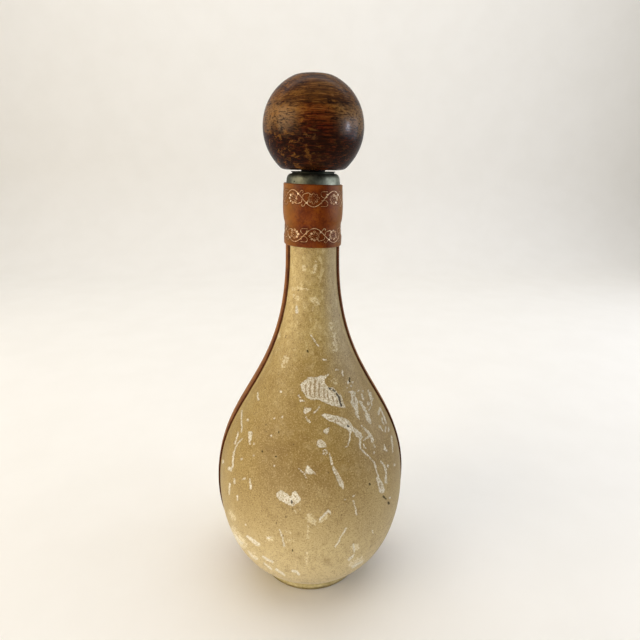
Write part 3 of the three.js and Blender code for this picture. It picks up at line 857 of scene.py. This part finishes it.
SCORES = {
    "leaf_rib": (1.6, 1.3, [(306.1, 384.7), (305.6, 389.8), (307.1, 395)]),
    "leaf_rib_second": (2, 1.6, [(310.7, 382.4), (309.6, 389.6), (311.1, 396.6)]),
    "leaf_rib_third": (2.4, 1.8, [(315.4, 381.2), (314.2, 389.2), (315.1, 396.8)]),
    "leaf_rib_fourth": (2.4, 2, [(320, 383.6), (318.9, 390.8), (319.7, 398)]),
    "leaf_rib_fifth": (2.2, 1.8, [(324, 389.6), (323.8, 393.8), (324.9, 398.8)]),
    "leaf_rib_sixth": (2, 1.6, [(328.3, 392.8), (328.2, 396), (328.9, 400)]),
    "leaf_rib_seventh": (1.2, 1.1, [(332.9, 395.6), (333.5, 401.6)]),
    "leaf_rib_last": (1.2, 1.1, [(336.9, 399), (337.5, 403.8)]),
    "slash_line": (1, 1.2, [(329, 418.4), (336, 420.4), (343, 423.4)]),
    "slash_end_fleck": (1.2, 1.2, [(358, 434.8), (359, 436.2)]),
    "round_fleck": (1.6, 1.4, [(321.4, 443), (323, 444.8)]),
    "drop_fleck": (1.2, 1.2, [(250.8, 434.2), (251.2, 435.4)]),
    "tall_hole": (1.7, 1.7, [(354.2, 396.4), (354.5, 402.6)]),
    "dash_gap": (1.2, 1.2, [(333, 471.6), (338, 470.8)]),
    "dash_gap_middle": (1.2, 1.2, [(335, 476.4), (341, 475.4)]),
    "dash_gap_low": (1.2, 1.2, [(337.4, 481.4), (343.6, 480.2)]),
    "crack_end_middle": (1.6, 1.2, [(380, 483), (380.8, 487.6)]),
}
DARK_MARKS = {
    # The leaf_edge marks paint the shade along the raised right edge of the leaf flake
    "leaf_edge": (1, 1.2, [(328.6, 387.6), (331, 388.8)]),
    "leaf_edge_second": (1.2, 1.2, [(332.8, 390), (335.2, 392)]),
    "leaf_edge_third": (1.2, 1.4, [(336.4, 393.4), (338.6, 396.4)]),
    "leaf_edge_fourth": (1.7, 1.8, [(339.5, 398), (340.1, 400.6)]),
    "leaf_edge_last": (1.4, 1.8, [(340.6, 402.4), (341.8, 405.6)]),
    "heart_dot": (1.4, 1.8, [(291.4, 500.6), (291.8, 503)]),
    "slash_fleck": (1, 1, [(347.6, 425.4), (349, 426.4)]),
    "cluster_dot": (1.4, 1.4, [(349.6, 378.2), (349.7, 378.9)]),
    "cluster_dot_low": (1.5, 1.5, [(349.6, 381), (349.7, 381.8)]),
    "side_tear": (2.2, 1.2, [(383.2, 496.4), (385.6, 499)]),
    "side_tear_end": (1.6, 2.2, [(388, 502), (388.8, 503.2)]),
    "left_pit": (1.4, 1.4, [(262.2, 450.8), (262.6, 452)]),
    "centre_pit": (1.6, 1.4, [(275.6, 456.2), (276.2, 457)]),
    "upper_pit": (1.2, 1.2, [(279, 431.8), (279.2, 433)]),
    "low_pit": (1.4, 1.2, [(292.2, 550), (292.6, 551)]),
    "right_pit": (1.6, 1.6, [(370, 483.6), (370.2, 484.8)]),
    "shoulder_pit": (1, 1, [(307.5, 350), (307.8, 352)]),
}


# Soft unevenness, the same each run, whose shortest wave is a share of the longest
SHORTEST_WAVE = 0.35


def waves(seed, count, longest):
    """A sum of waves in random directions, from -1 to 1, as a function of points."""
    rng = np.random.default_rng(seed)
    ways = rng.normal(size=(count, 3))
    ways /= np.linalg.norm(ways, axis=1)[:, None]
    pitch = 2 * math.pi / (longest * rng.uniform(SHORTEST_WAVE, 1, count))
    phases = rng.uniform(0, 2 * math.pi, count)

    def swell(points):
        return np.sin((points @ ways.T) * pitch + phases).sum(axis=-1) / count

    return swell


PANEL_SWELL = waves(SEED, count=14, longest=45 * MM)
BAND_SWELL = waves(SEED + 1, count=10, longest=16 * MM)
PIXEL_SWELLS = [waves(SEED + 3, count=12, longest=9), waves(SEED + 4, count=12, longest=9)]


# Wear: how far each pixel lies inside the nearest mark, in pixels, and below 0 outside
def nearest_on(pixels, a, b):
    """Each pixel's distance from a line between two points, and where on it the nearest point lies."""
    way = b - a
    share = np.clip((pixels - a) @ way / (way @ way), 0, 1)
    return np.linalg.norm(pixels - a - share[:, None] * way, axis=1), share


def stroke_depth(pixels, strokes):
    deepest = np.full(len(pixels), OUTSIDE)
    for first, last, points in strokes.values():
        points = np.array(points, float)
        lengths = np.linalg.norm(np.diff(points, axis=0), axis=1)
        along = np.concatenate([[0], np.cumsum(lengths)]) / lengths.sum()
        for i in range(len(lengths)):
            gap, share = nearest_on(pixels, points[i], points[i + 1])
            width = first + (last - first) * (along[i] + share * (along[i + 1] - along[i]))
            deepest = np.maximum(deepest, np.maximum(width, FINEST_MARK) / 2 - gap)
    return deepest


def patch_depth(pixels, patches):
    deepest = np.full(len(pixels), OUTSIDE)
    x, y = pixels.T
    for outline in patches.values():
        corners = np.array(outline, float)
        nearest = np.full(len(pixels), np.inf)
        inside = np.zeros(len(pixels), bool)
        for a, b in zip(corners, np.roll(corners, -1, axis=0)):
            nearest = np.minimum(nearest, nearest_on(pixels, a, b)[0])
            spans = (a[1] > y) != (b[1] > y)
            run, rise = b - a
            inside ^= spans & (x < a[0] + (y - a[1]) * run / (rise or TINY))
        deepest = np.maximum(deepest, np.where(inside, nearest, -nearest))
    return deepest


def speck_depth(pixels, specks):
    deepest = np.full(len(pixels), OUTSIDE)
    for x, y, wide, high in specks.values():
        wide, high = max(wide, FINEST_SPECK), max(high, FINEST_SPECK)
        reach = np.hypot((pixels[:, 0] - x) / wide * 2, (pixels[:, 1] - y) / high * 2)
        deepest = np.maximum(deepest, (1 - reach) * min(wide, high) / 2)
    return deepest


def wobbled(pixels):
    """Pixels moved a little to and fro, so that the outlines of the marks come out ragged."""
    flat = np.column_stack([pixels, np.zeros(len(pixels))])
    return pixels + WEAR_WOBBLE * np.column_stack([swell(flat) for swell in PIXEL_SWELLS])


def spread(values, count, where):
    """Values at some of the points, with the others far outside every mark."""
    full = np.full(count, OUTSIDE)
    full[where] = values
    return full


def photo_wear(points, normals):
    """The front panel's wear, from the marks in the photograph, on the side that its camera sees."""
    seen = np.einsum("ij,ij->i", normals, np.array(CAMERA_PLACE) - points) > 0
    pixels = wobbled(photo_pixels(points[seen]))
    flake = np.maximum(patch_depth(pixels, FLAKES) + PATCH_SPREAD, stroke_depth(pixels, STROKES))
    flake = np.maximum(flake, speck_depth(pixels, SPECKS))
    depths = {
        "flake": flake,
        "rub": stroke_depth(pixels, RUBS),
        "score": np.minimum(stroke_depth(pixels, SCORES), flake),
        "dark": stroke_depth(pixels, DARK_MARKS),
    }
    return {name: spread(depth, len(points), seen) for name, depth in depths.items()}


def scattered_wear(points, chain):
    """Wear of the side that no photograph shows: strokes, specks and rubs at random, at the same scale."""
    rng = np.random.default_rng(SEED + 2)
    heights = chain[:, 1]
    low, high = heights.min(), heights.max()
    wear = {}
    for name, (count, width, length) in BACK_WEAR.items():
        depth = np.full(len(points), OUTSIDE)
        for _ in range(count):
            height = low + (high - low) * rng.uniform(*BACK_HEIGHTS) ** BACK_CROWDING
            angle = math.pi + rng.uniform(-BACK_TURN, BACK_TURN)
            middle = around(np.interp(height, heights, chain[:, 0]), height, angle)
            lean = rng.normal(*BACK_LEAN)
            aside = math.sin(lean)
            way = np.array([math.cos(angle) * aside, math.sin(angle) * aside, math.cos(lean)])
            half = length * MM * rng.uniform(*BACK_LENGTHS) ** 2
            away = points - middle
            share = np.clip(away @ way, -half, half)
            gap = np.linalg.norm(away - share[:, None] * way, axis=1)
            broad = width * MM * rng.uniform(*BACK_WIDTHS) * (1 - BACK_TAPER * np.abs(share) / half)
            depth = np.maximum(depth, (broad - gap) / BACK_PIXEL)
        wear[name] = depth
    return wear


def soft_spot(points, angles, height, rise, angle, turn):
    """A spot on a panel, from 1 at its middle to 0 far away."""
    return np.exp(-(((points[:, 2] - height) / rise) ** 2) - ((angles - angle) / turn) ** 2)


# Leather of the body
def chain_normals(chain):
    way = np.gradient(chain, axis=0)
    normal = np.stack([way[:, 1], -way[:, 0]], axis=1)
    return normal / np.linalg.norm(normal, axis=1)[:, None]


def panel_faces(rows, columns, lining_rows):
    """Faces of a panel: its outside, its lining, and the four edges that join them."""
    first = rows * columns
    faces = grid_faces(rows, columns)
    faces += [face[::-1] for face in grid_faces(len(lining_rows), columns, first)]
    for column, turn in ((0, 1), (columns - 1, -1)):
        for k in range(len(lining_rows) - 1):
            edge = [row * columns + column for row in range(lining_rows[k], lining_rows[k + 1] + 1)]
            back = [first + (k + 1) * columns + column, first + k * columns + column]
            faces.append(tuple((edge + back)[::-turn]))
    last = (rows - 1) * columns
    last_lining = first + (len(lining_rows) - 1) * columns
    for j in range(columns - 1):
        faces.append((first + j, first + j + 1, j + 1, j))
        faces.append((last + j, last + j + 1, last_lining + j + 1, last_lining + j))
    return faces


def leather_panel(name, node, facing, columns, look):
    """Half of the jacket: a fine worn outside, a coarser lining, and closed edges."""
    towards = (0, -1) if facing == 0 else (0, 1)
    outside, inside = coat_chains(node, towards, PANEL_ROWS_PER_STATION)
    rows = len(outside)
    lining_rows = [*range(0, rows - 1, LINING_STRIDE), rows - 1]
    share = np.linspace(-1, 1, columns)

    def shell(chain):
        reach = math.pi / 2 - np.arcsin(SEAM_HALF / chain[:, :1])
        angles = facing + share[None, :] * reach
        return around(chain[:, :1], chain[:, 1:], angles).reshape(-1, 3), angles

    outer, angles = shell(outside)
    slopes = chain_normals(outside)
    normals = around(slopes[:, :1], slopes[:, 1:], angles).reshape(-1, 3)
    wear = photo_wear(outer, normals) if facing == 0 else scattered_wear(outer, outside)
    turns = angles.reshape(-1) - facing
    beside = np.maximum(np.abs(outer[:, 1]) - STRIP_HALF, 0) / STRIP_SIDE_LIGHT_REACH
    # Painted shade on the middle of the belly
    wear["painted_belly_shade"] = soft_spot(outer, turns, *BELLY_SHADE_SPOT)
    # Painted light on one side of the neck and beside the strips
    wear["pale"] = np.maximum(np.exp(-beside**2), soft_spot(outer, turns, *NECK_LIGHT_SPOT))
    ease = np.tile(np.clip((1 - np.abs(share)) * EDGE_EASE, 0, 1), (rows, 1))
    ease[:EASED_ROWS] = 0
    sink = FLAKE_DEPTH * np.clip(wear["flake"] + FLAKE_RIM, 0, 1)
    lift = LEATHER_SWELL * PANEL_SWELL(outer) * ease.reshape(-1) - sink
    outer = outer + normals * np.minimum(lift, HIGHEST_SWELL)[:, None]
    lining, _ = shell(inside[lining_rows])
    points = np.vstack([outer, lining])
    faces = panel_faces(rows, columns, lining_rows)
    piece = make_piece(name, points, faces, look, "bottle", [node])
    for key, values in wear.items():
        hold(piece, key, spread(values, len(points), slice(len(outer))))
    return piece


def strip_section(thick):
    """Outline across a ribbon, as places across and heights: up one edge, over the crown and back below."""
    left, low = STRIP_ROUNDING - STRIP_HALF, thick - STRIP_ROUNDING
    edge = [(-STRIP_HALF, 0), (-STRIP_HALF, low)]
    for angle in STRIP_CORNER:
        edge.append((left - STRIP_ROUNDING * math.cos(angle), low + STRIP_ROUNDING * math.sin(angle)))
    flat = np.linspace(left, -left, STRIP_POINTS)[1:-1]
    crown = [(y, thick + STRIP_CROWN * (1 - (y / STRIP_HALF) ** 2)) for y in flat]
    under = [(STRIP_HALF / 3, 0), (-STRIP_HALF / 3, 0)]
    return np.array(edge + crown + [(-y, height) for y, height in edge[::-1]] + under)


def side_strip(name, node, side, look):
    """A ribbon over one side seam, with rounded and darkened edges."""
    outside, inside = coat_chains(node, (side, 0), STRIP_ROWS_PER_STATION)
    thick = np.linalg.norm(outside[0] - inside[0])
    y, above = strip_section(thick).T
    rows, count = len(outside), len(y)
    spots = inside[:, None] + (outside - inside)[:, None] * (above / thick)[None, :, None]
    x = side * np.sqrt(spots[..., 0] ** 2 - y**2)
    points = np.stack(np.broadcast_arrays(x, y, spots[..., 1]), axis=-1).reshape(-1, 3)
    faces = [face[::side] for face in grid_faces(rows, count, wrap_columns=True)]
    faces.append(tuple(range(count))[::-side])
    faces.append(tuple(range((rows - 1) * count, rows * count))[::side])
    piece = make_piece(name, points, faces, look, "bottle", [node])
    rim = 1 - np.clip((STRIP_HALF - np.abs(y)) / STRIP_RIM, 0, 1)
    hold(piece, "edge", np.tile(rim, rows))
    # Paler along the middle of the face: wear with a painted highlight
    hold(piece, "worn", np.tile(1 - np.abs(y) / STRIP_HALF, rows))
    return piece


def foot_band(look):
    chain = smooth_chain(meridian("foot_band", (0, -1)), closed=True, step=BAND_STEP)
    points, faces = slit_turn(chain)
    return make_piece("foot_band_leather", points, faces, look, "bottle", ["foot_band"])


# Neck band
def band_radius(angles, heights):
    """Unevenness of the wrapped neck band."""
    return BAND_UNEVENNESS * BAND_SWELL(around(BAND_SWELL_RADIUS, heights, angles))


def slanted(points, bottom, top):
    """The band sits a little askew on the neck, higher at its left, and a little stretched upwards."""
    share = (points[:, 2] - bottom) / (top - bottom)
    lift = BAND_LIFT + BAND_STRETCH * share - BAND_SLANT * points[:, 0]
    return points + lift[:, None] * np.array([0, 0, 1])


def neck_band(leather, foil):
    """The band and its gold tooling, with the leather pressed in along the lines."""
    chain = smooth_chain(meridian("neck_band", (0, -1)), closed=True, step=BAND_STEP)
    bottom, top = chain[:, 1].min(), chain[:, 1].max()
    outer = chain[chain[:, 0] > chain[:, 0].max() - BAND_FACE]
    outer = outer[np.argsort(outer[:, 1])]
    radius = np.median(outer[:, 0])
    lines = vine_border(radius, top - UPPER_BORDER_DROP, UPPER_VINE_RISE, 1, UPPER_VINE_TURN)
    lines += vine_border(radius, bottom + LOWER_BORDER_RISE, LOWER_VINE_RISE, -1, LOWER_VINE_TURN)
    points, faces = slit_turn(chain, BAND_COLUMNS, band_radius)
    spots = np.vstack([around(radius, line[:, 1], line[:, 0] / radius) for line, _, _ in lines])
    tree = KDTree(len(spots))
    for i, spot in enumerate(spots):
        tree.insert(spot, i)
    tree.balance()
    gaps = np.array([tree.find(point)[2] for point in points])
    skewed = slanted(points, bottom, top)
    band = make_piece("neck_band_leather", skewed, faces, leather, "bottle", ["neck_band"])
    hold(band, "press", np.exp(-((gaps / PRESS_REACH) ** 2)))
    # Painted sheen: paler towards the band's left and right sides
    hold(band, "worn", (points[:, 0] / radius) ** 2)
    return band, gold_tooling(lines, radius, outer, bottom, top, foil)


# Gold tooling: each line is a list of points in arc length and height, pressed on the band as a thin ribbon
def drawn(points):
    """A flowing line through points."""
    return smooth_chain(points, step=TOOL_STEP, corner=math.pi)


def spoke(turn):
    """A step of length 1 at an angle."""
    return np.array([math.cos(turn), math.sin(turn)])


def flower(rng, bold):
    """A ring of open petals round a few seeds. The bolder it is, the stronger the painted highlight on its
    dabs of gold.
    """
    lift = np.array([0, FLOWER_LIFT])
    lines = []
    for k in range(FLOWER_PETALS):
        turn = 2 * math.pi * k / FLOWER_PETALS
        reach = MM * (1 + PETAL_JITTER * rng.normal())
        petal = [r * reach * spoke(turn + a) for r, a in PETAL]
        painted_highlight = rng.uniform(0, 1) ** 2
        lines.append((lift + drawn(petal), TENDRIL_WIDTH, PETAL_PAINTED_HIGHLIGHT * painted_highlight))
        if bold:
            dab = np.outer((DAB[0], sum(DAB) / 2, DAB[1]), spoke(turn))
            lines.append((lift + dab, np.interp(painted_highlight, (0, 1), DAB_WIDTHS), bold * max(painted_highlight, DAB_PAINTED_HIGHLIGHT)))
    for k in range(FLOWER_SEEDS):
        seed = np.outer((SEED_RING, SEED_RING + SEED_LENGTH), spoke(2 * math.pi * k / FLOWER_SEEDS))
        lines.append((lift + seed, TENDRIL_WIDTH, SEED_PAINTED_HIGHLIGHT))
    return lines


def motif(rng, bold):
    """What fills a bend of the vine: a flower, its arc, a looped tendril, a sprig and two knots with
    painted highlights.
    """
    lines = flower(rng, bold)
    for points in MOTIF_LINES.values():
        lines.append((drawn(np.array(points) * MM), TENDRIL_WIDTH, TENDRIL_PAINTED_HIGHLIGHT))
    for along, height, painted_highlight in MOTIF_KNOTS:
        knot = np.array([(along + half, height) for half in (-KNOT_HALF, 0, KNOT_HALF)]) * MM
        lines.append((knot, KNOT_WIDTH, painted_highlight))
    return lines


def vine_border(radius, middle, rise, up, turn):
    """A vine round the neck, as lines, widths and painted highlights. Each bend holds the motif, inverted
    in turn.
    """
    rng = np.random.default_rng(SEED + 5)
    pitch = radius * VINE_BEND
    start = radius * turn
    reach = radius * VINE_REACH
    along = np.arange(-reach, reach, VINE_STEP)
    vine = np.stack([along, middle - up * rise * np.cos((along - start) / pitch * math.pi)], axis=1)
    lines = [(vine, VINE_WIDTH, VINE_PAINTED_HIGHLIGHT)]
    scale = np.array([1, rise / MOTIF_RISE])
    for k in range(-MOTIFS_EACH_WAY, MOTIFS_EACH_WAY + 1):
        side = up if k % 2 == 0 else -up
        centre = np.array([start + k * pitch, middle])
        # The upper vine's side motifs get dabs with strong painted highlights, its middle one none; the
        # lower vine's are fainter
        bold = LOWER_BOLDNESS if up < 0 else min(abs(k), 1)
        lines += [(centre + side * line * scale, width, painted_highlight) for line, width, painted_highlight in motif(rng, bold)]
    return lines


def ribbon(line, width, radius, outer):
    """A low ridge along a line of the tooling, four points round at each of its points."""
    way = np.gradient(line, axis=0)
    way /= np.maximum(np.linalg.norm(way, axis=1), TINY)[:, None]
    left = np.stack([-way[:, 1], way[:, 0]], axis=1)
    rails = []
    for shift, lift in FOIL_SECTION:
        spots = line + left * shift * width
        angles, heights = spots[:, 0] / radius, spots[:, 1]
        surface = np.interp(heights, outer[:, 1], outer[:, 0]) + band_radius(angles, heights)
        rails.append(around(surface + lift, heights, angles))
    return np.stack(rails, axis=1).reshape(-1, 3)


def gold_tooling(lines, radius, outer, bottom, top, look):
    sides = len(FOIL_SECTION)
    ridges = []
    painted_highlights = []
    faces = []
    first = 0
    for line, width, painted_highlight in lines:
        ridges.append(ribbon(line, width, radius, outer))
        painted_highlights += [painted_highlight] * (sides * len(line))
        faces += [face[::-1] for face in grid_faces(len(line), sides, first, wrap_columns=True)]
        faces.append(tuple(range(first, first + sides)))
        end = first + sides * len(line)
        faces.append(tuple(range(end - 1, end - sides - 1, -1)))
        first = end
    points = slanted(np.vstack(ridges), bottom, top)
    piece = make_piece("gold_tooling", points, faces, look, "bottle", sharp=FOIL_SHARP_ANGLE)
    hold(piece, "painted_highlight", painted_highlights)
    return piece


# Turned pieces
def turned_piece(name, node, look, body, closed=False, step=PROFILE_STEP):
    chain = smooth_chain(meridian(node, (0, -1)), closed=closed, step=step)
    points, faces = turned(chain, closed)
    return make_piece(name, points, faces, look, body, [node])


# Stage
def make_stage():
    """A pale floor that sweeps up into a pale wall behind."""
    foot = WALL_PLACE - SWEEP_BEND
    profile = [(FLOOR_FRONT, 0), (FLOOR_MIDDLE, 0), (foot, 0)]
    for turn in np.linspace(0, math.pi / 2, SWEEP_STEPS + 1)[1:]:
        profile.append((foot + SWEEP_BEND * math.sin(turn), SWEEP_BEND - SWEEP_BEND * math.cos(turn)))
    profile.append((WALL_PLACE, WALL_TOP))
    points = [(x, y, z) for y, z in profile for x in (-SWEEP_REACH, SWEEP_REACH)]
    mesh = bpy.data.meshes.new("pale_sweep")
    mesh.from_pydata(points, [], grid_faces(len(profile), 2))
    mesh.shade_smooth()
    mesh.materials.append(pale_paper())
    sweep = bpy.data.objects.new("pale_sweep", mesh)
    bpy.context.scene.collection.objects.link(sweep)
    sweep.visible_glossy = False


def make_sky():
    world = bpy.data.worlds.new("studio")
    world.use_nodes = True
    sky = Nodes(world.node_tree)
    way = sky.add("TexCoord").outputs["Generated"]
    back = sky.add("SeparateXYZ", {"Vector": way}).outputs["Y"]
    lighting = sky.between(back, *SKY_TURN, *SKY_STRENGTH)
    seen = sky.add("LightPath").outputs["Is Camera Ray"]
    strength = sky.add("Mix", {"Factor": seen, "A": lighting, "B": SEEN_SKY_STRENGTH}).outputs[0]
    sky.set(sky.tree.nodes["Background"], {"Color": "#fbf9f5", "Strength": strength})
    bpy.context.scene.world = world


def soft_light(name, place, target, size, power, code):
    data = bpy.data.lights.new(name, "AREA")
    data.shape = "RECTANGLE"
    data.size, data.size_y = size
    data.energy = power
    data.color = colour(code)[:3]
    light = bpy.data.objects.new(name, data)
    light.location = place
    light.visible_camera = False
    light.rotation_euler = (Vector(target) - Vector(place)).to_track_quat("-Z", "Y").to_euler()
    bpy.context.scene.collection.objects.link(light)
    return light


def light_only(light, pieces):
    """Let a light reach the given pieces alone."""
    receivers = bpy.data.collections.new(light.name)
    for piece in pieces:
        receivers.objects.link(piece)
    light.light_linking.receiver_collection = receivers


def make_lights(pieces, glinting):
    """Soft boxes at the sides and above, a light from below, and a small one that glints on some pieces."""
    lights = {name: soft_light(name, *values) for name, values in LIGHTS.items()}
    lights["ceiling"].visible_glossy = False
    lights["floor_bounce"].visible_glossy = False
    lights["glint_right"].visible_diffuse = False
    light_only(lights["floor_bounce"], pieces)
    light_only(lights["glint_right"], glinting)


def main():
    bpy.context.scene.view_settings.view_transform = "Standard"
    make_camera()
    make_stage()
    make_sky()
    cream = cream_leather()
    strip_brown = brown_leather("strip_brown_leather", "#552a10", "#76451d", "#8d5b2d", 0.45)
    band_brown = brown_leather("band_brown_leather", "#4c1b02", "#612903", "#733806", 0.22)
    olive = foot_leather()
    wrapping = [
        leather_panel("front_panel_leather", "front_leather_panel", 0, FRONT_COLUMNS, cream),
        leather_panel("back_panel_leather", "back_leather_panel", math.pi, BACK_COLUMNS, cream),
        side_strip("left_strip_leather", "left_side_strip", -1, strip_brown),
        side_strip("right_strip_leather", "right_side_strip", 1, strip_brown),
        *neck_band(band_brown, gold_foil()),
        foot_band(olive),
    ]
    turned_piece("base_pad_leather", "base_pad", olive, "bottle")
    turned_piece("bottle_body_glass", "glass_bottle", bottle_glass(), "bottle")
    metal = pewter(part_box("neck_ferrule")[1][2])
    ferrule = turned_piece("mouth_ferrule", "neck_ferrule", metal, "bottle", True, FERRULE_STEP)
    ball_low, ball_high = (corner[2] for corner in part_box("stopper_ball"))
    ball = turned_piece("ball_wood", "stopper_ball", walnut(ball_low, ball_high), "stopper")
    turned_piece("shank_wood", "stopper_shank", black_wood(), "stopper")
    turned_piece("plug_cork", "cork_plug", cork(), "stopper")
    make_lights([*wrapping, ferrule, ball], [ball, ferrule])


main()
